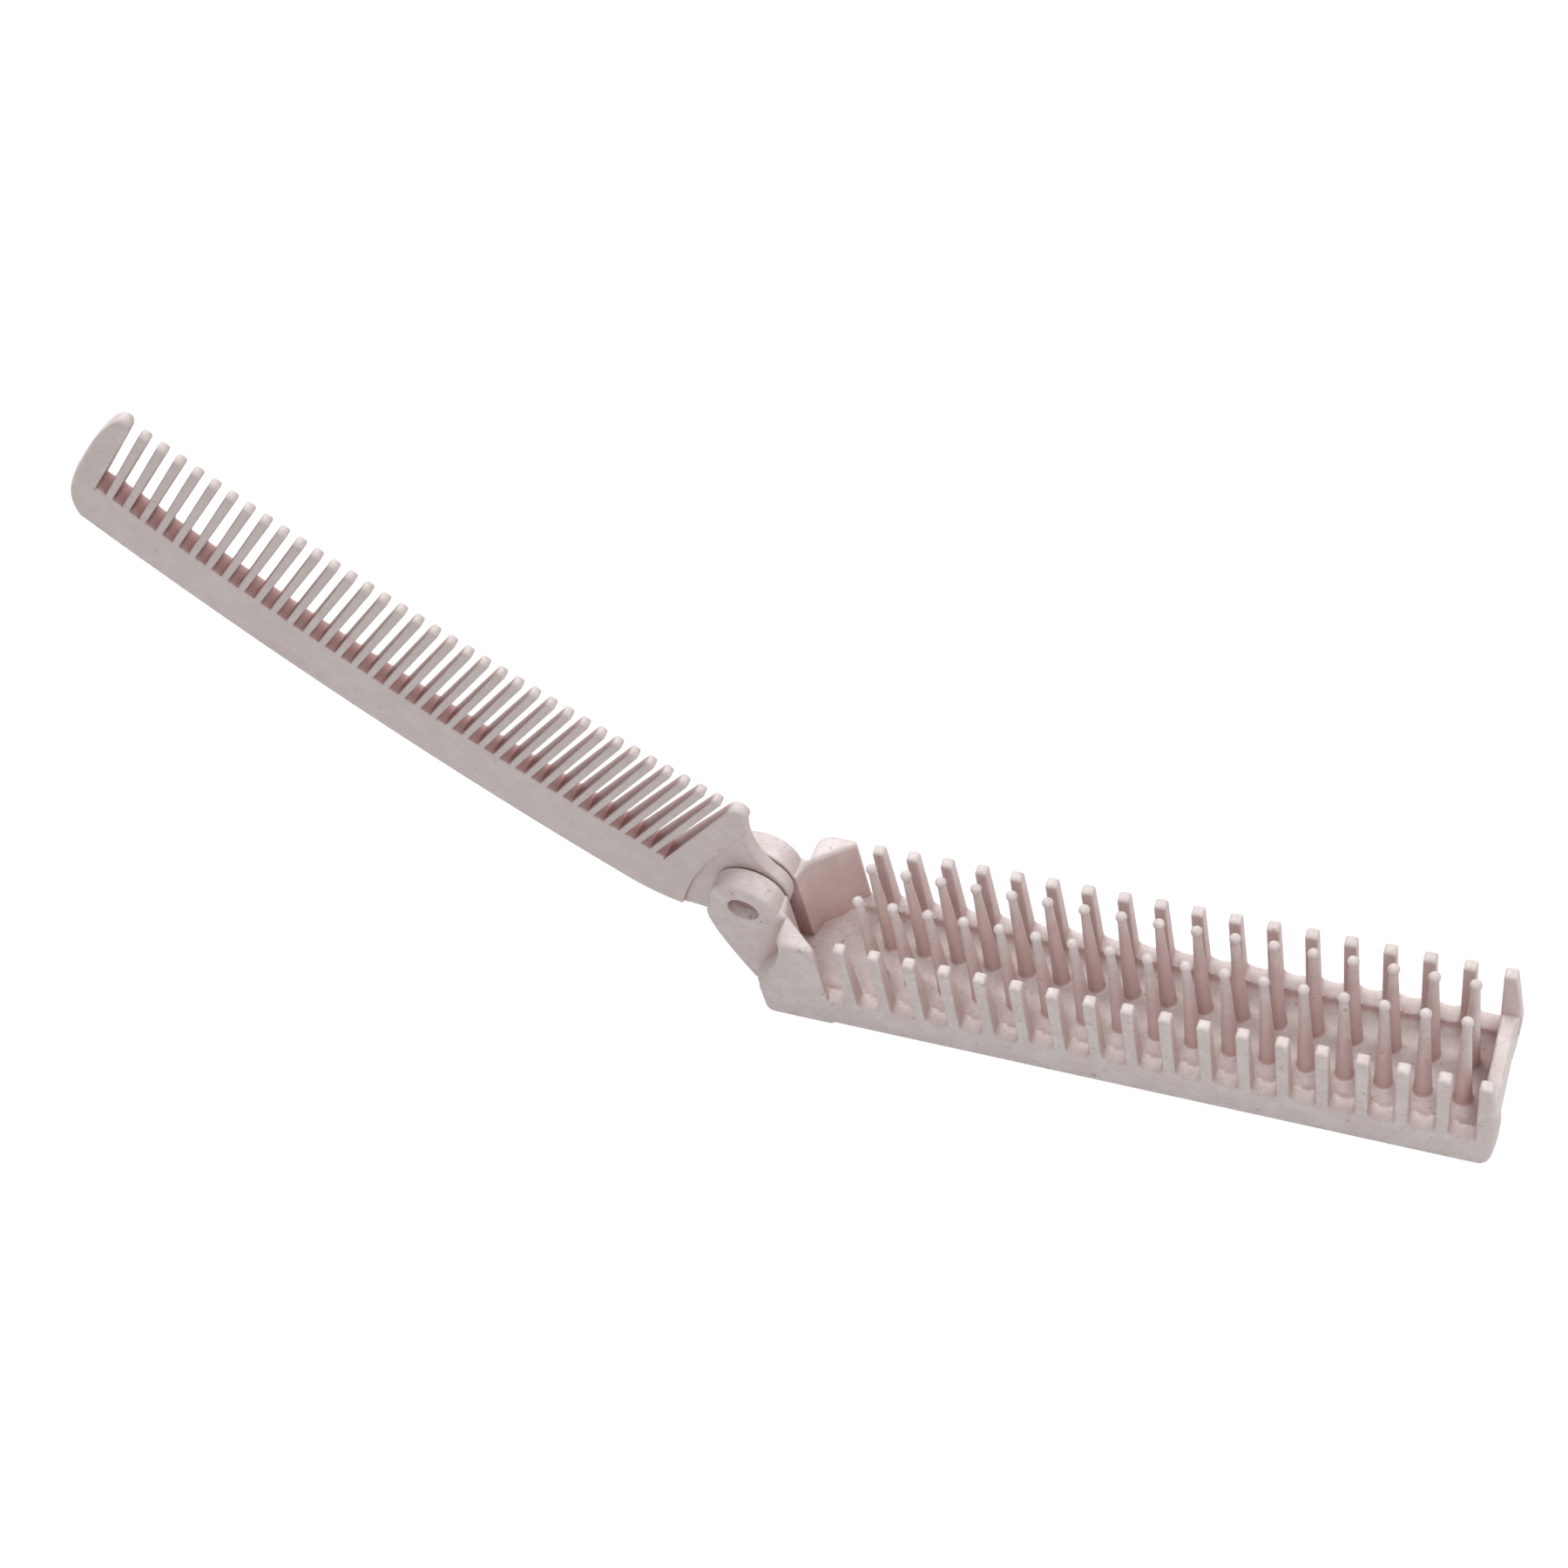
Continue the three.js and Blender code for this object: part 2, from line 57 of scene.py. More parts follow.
hinge = Vector(frame["joints"][0]["pos_m"])
free_end, half_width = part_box("brush_half")[1][:2]
channel_lead = 1.15 * mm
hinge_end = hinge.x + channel_lead
floor_top = 3.7 * mm
wall_thickness = 2.5 * mm
slot_floor = 5.5 * mm
underside_round = 0.7 * mm
corner_round = 1.5 * mm
hinge_corner_round = 0.9 * mm
rim_round = 0.35 * mm
inner_rim_round = 0.6 * mm
floor_fillet = slot_floor - floor_top - inner_rim_round
end_tuck = 0.8 * mm
lip_top = 9.5 * mm
lip_depth = 2.5 * mm
lip_inner_face = free_end - lip_depth
trough_corner_round = 0.8 * mm
overrun = 3 * mm


def steps(start, stop, count):
    return [start + (stop - start) * i / count for i in range(count + 1)]


def rounded_box(left, right, near, far, radii, count=3):
    """Points round a box with a radius for each corner, anticlockwise from the left near one."""
    centres = [
        (left + radii[0], near + radii[0]),
        (right - radii[1], near + radii[1]),
        (right - radii[2], far - radii[2]),
        (left + radii[3], far - radii[3]),
    ]
    ring = []
    for corner, ((x, y), radius) in enumerate(zip(centres, radii)):
        start = (corner + 2) * quarter_turn
        for angle in steps(start, start + quarter_turn, count):
            ring.append((x + radius * math.cos(angle), y + radius * math.sin(angle)))
    return ring


def skin(rings):
    """Closed skin over rings of equally many points, as points and faces."""
    count = len(rings[0])
    points = [point for ring in rings for point in ring]
    faces = [tuple(reversed(range(count)))]
    for ring in range(len(rings) - 1):
        for side in range(count):
            near = ring * count + side
            beside = ring * count + (side + 1) % count
            faces.append((near, beside, beside + count, near + count))
    faces.append(tuple(range(len(points) - count, len(points))))
    return points, faces


def moulded(name, skins, place=Matrix()):
    """One object that holds closed skins which don't touch each other."""
    points = []
    faces = []
    for skin_points, skin_faces in skins:
        first = len(points)
        points += [place @ Vector(point) for point in skin_points]
        faces += [tuple(first + corner for corner in face) for face in skin_faces]
    mesh = bpy.data.meshes.new(name)
    mesh.from_pydata(points, [], faces)
    whole = bmesh.new()
    whole.from_mesh(mesh)
    bmesh.ops.recalc_face_normals(whole, faces=whole.faces)
    whole.to_mesh(mesh)
    whole.free()
    piece = bpy.data.objects.new(name, mesh)
    bpy.context.scene.collection.objects.link(piece)
    return piece


def worked(piece, operation, *tools):
    """The piece with other shapes joined to it or cut from it, which are used up."""
    for tool in tools:
        step = piece.modifiers.new(operation, "BOOLEAN")
        step.operation = operation
        step.solver = "MANIFOLD"
        step.object = tool
    bpy.context.view_layer.update()
    shaped = piece.evaluated_get(bpy.context.evaluated_depsgraph_get())
    mesh = bpy.data.meshes.new_from_object(shaped)
    piece.modifiers.clear()
    piece.data = mesh
    for tool in tools:
        bpy.data.objects.remove(tool)
    return piece


def tuck(height):
    """How far the face of the free end is drawn in, below the top of the lip."""
    return end_tuck * max(0, 1 - height / lip_top) ** 2


def channel_ring(height, inset):
    radii = [hinge_corner_round, corner_round, corner_round, hinge_corner_round]
    plan = rounded_box(
        hinge_end + inset, free_end - tuck(height) - inset, inset - half_width, half_width - inset,
        [radius - inset for radius in radii], 6,
    )
    return [(x, y, height) for x, y in plan]


channel_rings = [
    channel_ring(underside_round * (1 - math.cos(turn)), underside_round * (1 - math.sin(turn)))
    for turn in steps(0, quarter_turn, 5)
]
channel_rings += [
    channel_ring(height, 0) for height in steps(underside_round, slot_floor - rim_round, 4)[1:]
]
channel_rings += [
    channel_ring(slot_floor - rim_round * (1 - math.sin(turn)), rim_round * (1 - math.cos(turn)))
    for turn in steps(0, quarter_turn, 4)[1:]
]
channel = moulded("channel", [skin(channel_rings)])


def trough_ring(height, inset):
    inner = half_width - wall_thickness - inset
    plan = rounded_box(
        hinge_end - overrun * 4, lip_inner_face - inset, -inner, inner, [trough_corner_round] * 4, 5,
    )
    return [(x, y, height) for x, y in plan]


trough_rings = [
    trough_ring(floor_top + floor_fillet * (1 - math.cos(turn)), floor_fillet * (1 - math.sin(turn)))
    for turn in steps(0, quarter_turn, 5)
]
trough_rings += [
    trough_ring(
        slot_floor - inner_rim_round * (1 - math.sin(turn)), inner_rim_round * (math.cos(turn) - 1),
    )
    for turn in steps(0, quarter_turn, 5)[1:]
]
trough_rings.append(trough_ring(slot_floor + overrun, -inner_rim_round))
channel = worked(channel, "DIFFERENCE", moulded("trough", [skin(trough_rings)]))

# Side teeth: two rows of flat, upright teeth that grow out of the channel's walls. They thin towards
# domed tips, and the tips lie on a shallow bow that is lower towards the free end.
side_tooth_count = 18
side_tooth_half = 0.8 * mm
side_tooth_top_half = 0.83 * mm
side_tooth_edge = 0.32 * mm
side_tooth_foot = 1 * mm
side_tooth_dome = 0.55 * mm
side_tooth_crown = 0.65
dome_reach = quarter_turn * 0.93
edge_share = 0.8
first_side_tooth_lead = 13.9 * mm
last_side_tooth_lead = 1.8 * mm
first_side_tooth = hinge_end + first_side_tooth_lead
last_side_tooth = free_end - last_side_tooth_lead
side_tooth_pitch = (last_side_tooth - first_side_tooth) / (side_tooth_count - 1)
tip_heights = (18.15 * mm, 17.95 * mm, 17.25 * mm)
wall_middle = half_width - wall_thickness / 2
post_edge = 1.3 * mm


def tip_height(x):
    """Height of the side teeth's tips at a place along the channel."""
    at_hinge, middle, at_end = tip_heights
    along = 2 * (x - first_side_tooth) / (last_side_tooth - first_side_tooth) - 1
    return middle + (at_end - at_hinge) / 2 * along + ((at_end + at_hinge) / 2 - middle) * along ** 2


def tooth_half_depth(height, tip):
    """Half of a side tooth's thickness through the wall, which thins towards the tip."""
    share = max(0, height - slot_floor) / (tip - slot_floor)
    return wall_thickness / 2 + (side_tooth_top_half - wall_thickness / 2) * share


def dome(reach, turn):
    """How far an edge is drawn in at an angle up a dome."""
    return reach * (1 - math.cos(turn))


def side_tooth(x, side):
    tip = tip_height(x)
    shoulder = tip - side_tooth_dome
    ends = [(slot_floor - rim_round * 2, side_tooth_half + side_tooth_foot, 0)]
    for turn in steps(0, quarter_turn, 4):
        flare = side_tooth_foot * (1 - math.sin(turn))
        ends.append((slot_floor + side_tooth_foot * (1 - math.cos(turn)), side_tooth_half + flare, 0))
    ends.append((shoulder, side_tooth_half, 0))
    for turn in steps(0, dome_reach, 6)[1:]:
        ends.append((
            shoulder + side_tooth_dome * math.sin(turn),
            side_tooth_half - dome(side_tooth_half * side_tooth_crown, turn),
            dome(side_tooth_top_half * side_tooth_crown, turn),
        ))
    rings = []
    for height, half, drawn in ends:
        depth = tooth_half_depth(height, tip) - drawn
        edge = min(side_tooth_edge, half * edge_share, depth * edge_share)
        plan = rounded_box(x - half, x + half, wall_middle - depth, wall_middle + depth, [edge] * 4)
        rings.append([(px, side * py, height) for px, py in plan])
    return skin(rings)


def corner_post(side):
    """The last side tooth, whose back slopes down into the corner of the free end."""
    x = last_side_tooth
    tip = tip_height(x)
    shoulder = tip - side_tooth_dome
    rings = []
    for height in steps(slot_floor - rim_round * 2, lip_top, 4) + steps(lip_top, shoulder, 6)[1:]:
        rise = max(0, height - lip_top) / (shoulder - lip_top)
        right = free_end - tuck(height) + (x + side_tooth_half - free_end) * rise
        depth = tooth_half_depth(height, tip)
        outer = post_edge + (side_tooth_edge - post_edge) * rise
        radii = [side_tooth_edge, side_tooth_edge, outer, side_tooth_edge]
        plan = rounded_box(x - side_tooth_half, right, wall_middle - depth, wall_middle + depth, radii)
        rings.append([(px, side * py, height) for px, py in plan])
    for turn in steps(0, dome_reach, 6)[1:]:
        height = shoulder + side_tooth_dome * math.sin(turn)
        half = side_tooth_half - dome(side_tooth_half * side_tooth_crown, turn)
        depth = tooth_half_depth(height, tip) - dome(side_tooth_top_half * side_tooth_crown, turn)
        edge = min(side_tooth_edge, half * edge_share, depth * edge_share)
        plan = rounded_box(x - half, x + half, wall_middle - depth, wall_middle + depth, [edge] * 4)
        rings.append([(px, side * py, height) for px, py in plan])
    return skin(rings)


side_teeth = moulded("side_teeth", [
    side_tooth(first_side_tooth + i * side_tooth_pitch, side)
    for i in range(side_tooth_count - 1) for side in (-1, 1)
])
corner_posts = moulded("corner_posts", [corner_post(side) for side in (-1, 1)])

# End lip: the low wall that closes the channel between the two corner posts. Its outer face is
# hollowed, so that the guard at the end of the comb can pass it when the comb is folded in.
lip_recess = 0.65 * mm
lip_face = free_end - lip_recess
hollow_half = 7.8 * mm
hollow_flank = 2.2 * mm
lip_round = 0.45 * mm


def shrunk(outline, distance):
    """An anticlockwise outline moved inwards."""
    moved = []
    for i, (x, y) in enumerate(outline):
        before = (Vector((x, y)) - Vector(outline[i - 1])).normalized()
        after = (Vector(outline[(i + 1) % len(outline)]) - Vector((x, y))).normalized()
        inward = Vector((-before.y - after.y, before.x + after.x)) / (1 + before.dot(after))
        moved.append((x + inward.x * distance, y + inward.y * distance))
    return moved


def lip_ring(height, inset):
    end = free_end - tuck(height)
    face = min(lip_face, end)
    outline = [
        (lip_inner_face, -wall_middle),
        (end, -wall_middle),
        (end, -hollow_half),
        (face, hollow_flank - hollow_half),
        (face, hollow_half - hollow_flank),
        (end, hollow_half),
        (end, wall_middle),
        (lip_inner_face, wall_middle),
    ]
    return [(x, y, height) for x, y in shrunk(outline, inset)]


lip_rings = [
    lip_ring(height, 0) for height in steps(slot_floor - rim_round * 2, lip_top - lip_round, 3)
]
lip_rings += [
    lip_ring(lip_top - lip_round * (1 - math.sin(turn)), lip_round * (1 - math.cos(turn)))
    for turn in steps(0, quarter_turn, 4)[1:]
]
lip = moulded("lip", [skin(lip_rings)])

hollow = moulded("hollow", [skin([
    [
        (free_end + overrun, -hollow_half, height),
        (free_end + overrun, hollow_half, height),
        (free_end, hollow_half, height),
        (lip_face, hollow_half - hollow_flank, height),
        (lip_face, hollow_flank - hollow_half, height),
        (free_end, -hollow_half, height),
    ]
    for height in (-overrun, slot_floor + overrun)
])])
channel = worked(channel, "DIFFERENCE", hollow)

# Ball pins: two rows of round pins that stand on the channel's floor between the side teeth. Each
# tapers up from a small fillet to a neck and ends in a ball, so that it doesn't scratch the scalp.
pin_count = 17
pin_lead = 1.4 * mm
pin_row_offset = 2.65 * mm
pin_foot = 0.45 * mm
pin_base_radius = 1.15 * mm
pin_neck_radius = 0.54 * mm
ball_radius = 0.74 * mm
ball_height = 21.35 * mm
pin_sides = 24
ball_reach = quarter_turn * 0.94


def turned(profile, sides, centre=(0, 0)):
    """Closed skin round an upright axis, from radii and heights."""
    return skin([
        [
            (centre[0] + radius * math.cos(angle), centre[1] + radius * math.sin(angle), height)
            for angle in steps(0, 4 * quarter_turn, sides)[:-1]
        ]
        for radius, height in profile
    ])


neck_turn = -math.acos(pin_neck_radius / ball_radius)
pin_profile = [(pin_base_radius + pin_foot, floor_top - pin_foot)]
pin_profile += [
    (pin_base_radius + pin_foot * (1 - math.sin(turn)), floor_top + pin_foot * (1 - math.cos(turn)))
    for turn in steps(0, quarter_turn, 4)
]
pin_profile += [
    (ball_radius * math.cos(turn), ball_height + ball_radius * math.sin(turn))
    for turn in steps(neck_turn, ball_reach, 10)
]
ball_pins = moulded("ball_pins", [
    turned(pin_profile, pin_sides, (first_side_tooth + pin_lead + i * side_tooth_pitch, row))
    for i in range(pin_count) for row in (-pin_row_offset, pin_row_offset)
])

# Hinge cheeks: an ear on each side of the comb's tongue, with a wedge block behind it. The wedges'
# inner faces open like a funnel, which steers the comb as it folds into the channel.
block_top = 17.6 * mm
block_gap = 2.8 * mm
block_face = first_side_tooth - side_tooth_half - block_gap
block_length = 5.5 * mm
block_round = 0.8 * mm
block_edge = 0.8 * mm
block_corner = 1.8 * mm
block_mouth_corner = 0.6 * mm
sweep_foot = 6.6 * mm
sweep_belly = 11.2 * mm
throat_reach = 5.3 * mm
throat_start = hinge.x + throat_reach
throat_step_depth = 5.5 * mm
throat_step = block_face - throat_step_depth
throat_step_half = 4 * mm
throat_overlap = 0.05 * mm
mouth_flare = 0.5
mouth_tuck = 0.5
step_flare = 0.6
heel_floor_round = 0.3 * mm
heel_lift = 0.3
ear_inner = 1.5 * mm
ear_outer = 4.95 * mm
ear_radius = 5 * mm
ear_rim = 0.7 * mm
ear_inner_rim = 0.25 * mm
ear_bulge = (6.1 * mm, -3 * mm)
ear_foot = (3.4 * mm, -13.6 * mm)
ear_heel = 2.3 * mm
ear_heel_round = 1 * mm
ear_heel_lean = 0.35
bore_radius = 2.2 * mm
bore_rim = 0.25 * mm


def bow(start, control, stop, count):
    """Points on a curve from start to stop that is drawn towards a control point, start left out."""
    points = []
    for t in steps(0, 1, count)[1:]:
        points.append(tuple(
            (1 - t) ** 2 * s + 2 * t * (1 - t) * c + t * t * e for s, c, e in zip(start, control, stop)
        ))
    return points


def arc(x, y, radius, start, stop, count):
    turns = steps(start, stop, count)
    return [(x + radius * math.cos(turn), y + radius * math.sin(turn)) for turn in turns]


def slab(outline, near, far, near_round, far_round):
    """Plate whose outline lies in X and Z, with the rims of its near and far faces rounded."""
    layers = [
        (near + near_round * (1 - math.cos(turn)), near_round * (1 - math.sin(turn)))
        for turn in steps(0, quarter_turn, 4)
    ]
    layers += [
        (far - far_round * (1 - math.sin(turn)), far_round * (1 - math.cos(turn)))
        for turn in steps(0, quarter_turn, 4)
    ]
    return skin([[(x, y, z) for x, z in shrunk(outline, inset)] for y, inset in layers])


def wedge_ring(back, height, inset):
    """Plan of a wedge block at a height, with its outer corners rounded."""
    radius = hinge_corner_round + (block_corner - hinge_corner_round) * height / block_top
    left = back + inset
    right = block_face - inset
    far = half_width - inset
    ring = [(left, ear_inner), (right, ear_inner)]
    mouth = block_mouth_corner - inset * mouth_tuck
    ring += arc(right - mouth, far - mouth, mouth, 0, quarter_turn, 4)
    ring += arc(left + radius, far - radius, radius, quarter_turn, 2 * quarter_turn, 6)
    return [(x, y, height) for x, y in ring]


sweep_top = block_face - block_length
wedge_backs = arc(
    hinge_end + underside_round, underside_round, underside_round, 3 * quarter_turn, 2 * quarter_turn, 4,
)
wedge_backs.append((hinge_end, sweep_foot))
wedge_backs += bow(
    (hinge_end, sweep_foot), (sweep_top, sweep_belly), (sweep_top, block_top - block_round), 12,
)
wedge_rings = [wedge_ring(back, height, 0) for back, height in wedge_backs]
wedge_rings += [
    wedge_ring(
        sweep_top, block_top - block_round * (1 - math.sin(turn)), block_round * (1 - math.cos(turn)),
    )
    for turn in steps(0, quarter_turn, 5)[1:]
]

ear_top_turn = math.asin((block_top - hinge.z) / ear_radius)
ear_side = [(block_face, 0), (block_face, block_top)]
ear_side += arc(hinge.x, hinge.z, ear_radius, ear_top_turn, 2 * quarter_turn, 24)
ear_side += [
    (hinge.x - reach, hinge.z + drop)
    for reach, drop in bow((ear_radius, 0), (ear_bulge[0], ear_bulge[1] / 2), ear_bulge, 6)
    + bow(ear_bulge, (ear_bulge[0], ear_bulge[1] * 2), ear_foot, 8)
]
ear_side += arc(
    hinge.x - ear_heel + ear_heel_round, ear_heel_round, ear_heel_round,
    2 * quarter_turn + ear_heel_lean, 3 * quarter_turn, 6,
)


def throat_ring(height, flare):
    return [
        (throat_start - throat_overlap, 0, height),
        (block_face + overrun, 0, height),
        (block_face + overrun, half_width - block_edge + flare * mouth_flare, height),
        (block_face, half_width - block_edge + flare * mouth_flare, height),
        (throat_step - flare, throat_step_half + flare * step_flare, height),
        (throat_start - throat_overlap, ear_inner, height),
    ]


throat_rings = [throat_ring(-overrun, 0)]
throat_rings += [
    throat_ring(block_top - block_round * (1 - math.sin(turn)), block_round * (1 - math.cos(turn)))
    for turn in steps(0, quarter_turn, 5)
]
throat_rings.append(throat_ring(block_top + overrun * 2, block_round))

bore_profile = [(bore_radius, 0), (bore_radius, ear_outer - bore_rim)]
bore_profile += [
    (bore_radius + bore_rim * (1 - math.cos(turn)), ear_outer - bore_rim * (1 - math.sin(turn)))
    for turn in steps(0, quarter_turn, 4)[1:]
]
bore_profile.append((bore_radius + bore_rim, ear_outer + overrun))


def across(side):
    """Turns an upright axis to run across the hinge, out through one ear."""
    return Matrix.Translation(hinge) @ Matrix.Rotation(-side * quarter_turn, 4, "X")


cheeks = []
for side in (-1, 1):
    turn_over = Matrix.Scale(side, 4, (0, 1, 0))
    cheek = moulded("cheek", [slab(ear_side, ear_inner, ear_outer, ear_inner_rim, ear_rim)], turn_over)
    cheek = worked(cheek, "UNION", moulded("wedge", [skin(wedge_rings)], turn_over))
    cheek = worked(cheek, "DIFFERENCE", moulded("throat", [skin(throat_rings)], turn_over))
    cheek = worked(cheek, "DIFFERENCE", moulded("bore", [turned(bore_profile, 48)], across(side)))
    cheeks.append(cheek)

heel_floor = moulded("heel_floor", [skin([
    [(x, y, height) for x, y in rounded_box(
        hinge.x - ear_heel + inset, hinge_end + overrun, inset - ear_outer + rim_round,
        ear_outer - rim_round - inset, [heel_floor_round] * 4,
    )]
    for height, inset in [
        (0, underside_round),
        (underside_round * heel_lift, underside_round * heel_lift),
        (underside_round, 0),
        (floor_top, 0),
    ]
])])

# Brush moulding: channel, teeth, posts, lip, pins and cheeks are one shot of the same plastic. Straw
# fibre clouds and flecks it and the skin is satin. Painted shade deepens the pink where faces look at
# each other and in tight corners, and painted light whitens the floors between walls.
pink = (0.77, 0.672, 0.66, 1)
# Milky: the real cloudy mottle of the plastic, and also painted light on the floors inside the channel.
milky_mottle_and_floor_light = (0.88, 0.83, 0.81, 1)
straw = (0.50, 0.37, 0.33, 1)
# Painted shade: a deeper pink for faces that look at other faces of the piece, as if lit only by light
# bounced off the pink plastic.
painted_shade_pink = (0.66, 0.475, 0.45, 1)
# Painted shade: a dark rose for tight corners, creases and recesses.
painted_corner_shade_rose = (0.40, 0.20, 0.19, 1)


class Wire:
    """A shader socket. Sums, products and the like of wires and numbers become Math nodes."""

    def __init__(self, finish, socket):
        self.finish = finish
        self.socket = socket

    def maths(self, operation, first, second):
        return self.finish.node("ShaderNodeMath", {"operation": operation}, {0: first, 1: second})

    def __add__(self, other):
        return self.maths("ADD", self, other)

    def __sub__(self, other):
        return self.maths("SUBTRACT", self, other)

    def __mul__(self, other):
        return self.maths("MULTIPLY", self, other)

    def __rsub__(self, other):
        return self.maths("SUBTRACT", other, self)

    __radd__ = __add__
    __rmul__ = __mul__


class Finish:
    """The nodes of a material, or of the room's light, added one at a time."""

    def __init__(self, holder):
        self.holder = holder
        holder.use_nodes = True
        holder.node_tree.nodes.clear()

    def node(self, kind, settings, inputs, output=0):
        """Adds a node, sets it up, then feeds its sockets with values or wires, and gives one output."""
        added = self.holder.node_tree.nodes.new(kind)
        for name, value in settings.items():
            setattr(added, name, value)
        for key, value in inputs.items():
            if isinstance(value, Wire):
                self.holder.node_tree.links.new(value.socket, added.inputs[key])
            else:
                added.inputs[key].default_value = value
        return Wire(self, added.outputs[output]) if added.outputs else self.holder

    def between(self, low, high, wire):
        """0 below low, 1 above high, and smooth between them."""
        return self.node(
            "ShaderNodeMapRange", {"interpolation_type": "SMOOTHSTEP"},
            {"Value": wire, "From Min": low, "From Max": high},
        )

    def tinted(self, mask, under, over):
        """One colour over another, where the mask says."""
        return self.node(
            "ShaderNodeMix", {"data_type": "RGBA"}, {"Factor": mask, 6: under, 7: over}, 2,
        )

    def noise(self, place, scale, detail, roughness):
        return self.node(
            "ShaderNodeTexNoise", {},
            {"Vector": place, "Scale": scale, "Detail": detail, "Roughness": roughness}, "Fac",
        )

    def closed_in(self, reach):
        """0 where a face looks out into the open, towards 1 where the piece itself hems it in."""
        return 1 - self.node(
            "ShaderNodeAmbientOcclusion", {"samples": 12, "only_local": True}, {"Distance": reach}, "AO",
        )


def straw_plastic(name, body, mottle, painted_floor_light, depth):
    """Satin moulded plastic with cloudy mottling, sparse specks and short fibres, plus painted shade and
    light.
    """
    finish = Finish(bpy.data.materials.new(name))
    place = finish.node("ShaderNodeTexCoord", {}, {}, "Object")
    facing = finish.node("ShaderNodeTexCoord", {}, {}, "Normal")
    upward = finish.node("ShaderNodeSeparateXYZ", {}, {0: facing}, "Z")
    fibres = 0
    for lie in [(0.2, 0.1, 0.5), (0.9, 0.4, 1.7), (1.7, 0.8, -0.7)]:
        drawn_out = finish.node(
            "ShaderNodeMapping", {"vector_type": "TEXTURE"},
            {"Vector": place, "Rotation": lie, "Scale": (2.2 * mm, 0.42 * mm, 0.42 * mm)},
        )
        fibres = finish.between(0.60, 0.74, finish.noise(drawn_out, 1, 1, 0.4)) + fibres
    clouds = finish.noise(place, 380, 4, 0.6)
    specks = finish.noise(place, 900, 1, 0.4)
    grit = finish.noise(place, 2600, 2, 0.5)
    hazy = finish.between(0.44, 0.62, clouds)
    colour = finish.tinted(hazy * (0.5 * mottle), body, milky_mottle_and_floor_light)
    # Painted shade: faces that the piece hems in, such as the channel's inner walls, take the deeper
    # pink, all but the upward ones.
    painted_shading_reach = finish.between(0.15, 0.60, finish.closed_in(16 * mm))
    # Painted light: upward faces that the piece hems in, the floors between walls, are made milky and
    # brighter in place of the light the walls keep from them; the fourth argument sets how much.
    painted_floor_light_mask = finish.between(0.2, 0.9, upward) * painted_floor_light
    colour = finish.tinted(painted_shading_reach * (1 - painted_floor_light_mask) * 0.72, colour, painted_shade_pink)
    colour = finish.tinted(painted_shading_reach * painted_floor_light_mask * (hazy * 0.6 + 0.38), colour, milky_mottle_and_floor_light)
    colour = finish.tinted(finish.between(0, 1, fibres) * (0.2 * mottle), colour, straw)
    colour = finish.tinted(finish.between(0.71, 0.77, specks) * (0.6 * mottle), colour, straw)
    # Painted shade: tight corners and creases, found by 3.5 mm ambient occlusion, turn dark rose, as
    # strong as the last argument says.
    colour = finish.tinted(finish.between(0.06, 0.80, finish.closed_in(3.5 * mm)) * depth, colour, painted_corner_shade_rose)
    surface = finish.node(
        "ShaderNodeBump", {}, {"Strength": 0.16, "Distance": 0.12 * mm, "Height": grit * 0.5 + clouds},
    )
    shader = finish.node("ShaderNodeBsdfPrincipled", {}, {
        "Base Color": colour,
        "Roughness": grit * 0.16 + 0.36 + fibres * 0.06,
        "Normal": surface,
        "IOR": 1.46,
    })
    return finish.node("ShaderNodeOutputMaterial", {}, {"Surface": shader})


def dressed(piece, material, body, node):
    """Smooth shading with crisp creases, then the piece's finish and its place in the frame."""
    piece.data.materials.clear()
    piece.data.materials.append(material)
    piece.data.shade_smooth()
    piece.data.set_sharp_from_angle(angle=math.radians(38))
    even = piece.modifiers.new("even_normals", "WEIGHTED_NORMAL")
    even.keep_sharp = True
    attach(piece, body)
    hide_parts(node)


brush_moulding = worked(channel, "UNION", side_teeth, corner_posts, lip, ball_pins, heel_floor, *cheeks)
brush_moulding.name = "brush_moulding"
brush_plastic = straw_plastic("straw_plastic_brush", pink, 1, 1, 0.5)
dressed(brush_moulding, brush_plastic, "brush", "brush_half")

# Comb back: the bowed spine of the comb moulding, with a plain guard tooth at each end. It is one long
# skin, built along the comb from the hinge, and stands at the angle at which the comb was left open.
raised = Matrix.Rotation(math.radians(43.2), 4, "Y")
turned_round = Matrix.Rotation(2 * quarter_turn, 4, "Z")
comb_place = Matrix.Translation(hinge) @ raised @ turned_round
slot_count = 36
slot_width = 1.42 * mm
first_slot = 12 * mm
lip_clearance = 0.31 * mm
last_slot = lip_face + lip_clearance - slot_width / 2 - hinge.x
slot_span = last_slot - first_slot
slot_pitch = slot_span / (slot_count - 1)
comb_half = 1.75 * mm
comb_tip_half = 0.8 * mm
guard_tip_half = 1 * mm
root_depth = 5.3 * mm
root_arch = 2.2 * mm
comb_tooth_lengths = (18 * mm, 14.9 * mm)
tip_arch = 2.3 * mm
spine_depths = (10.3 * mm, 8.3 * mm)
back_arch = 2.1 * mm
back_round = 0.9 * mm
comb_edge = 0.3 * mm
guard_edge = 0.75 * mm
comb_lean = 0.12 * mm
tongue_radius = 5.2 * mm
hinge_guard_rise = 0.8 * mm
hinge_guard_tip = 1.4 * mm
neck_bow = (5.7 * mm, 6.6 * mm)
tongue_heel = (1 * mm, -11.6 * mm)
end_guard_width = 3.2 * mm
end_guard_rise = 0.7 * mm
end_guard_drop = 0.9 * mm
end_guard_crown = 1.5 * mm
end_guard_shoulder = 6.5 * mm
end_guard_bulge = -3.2 * mm
end_guard_heel = -11 * mm


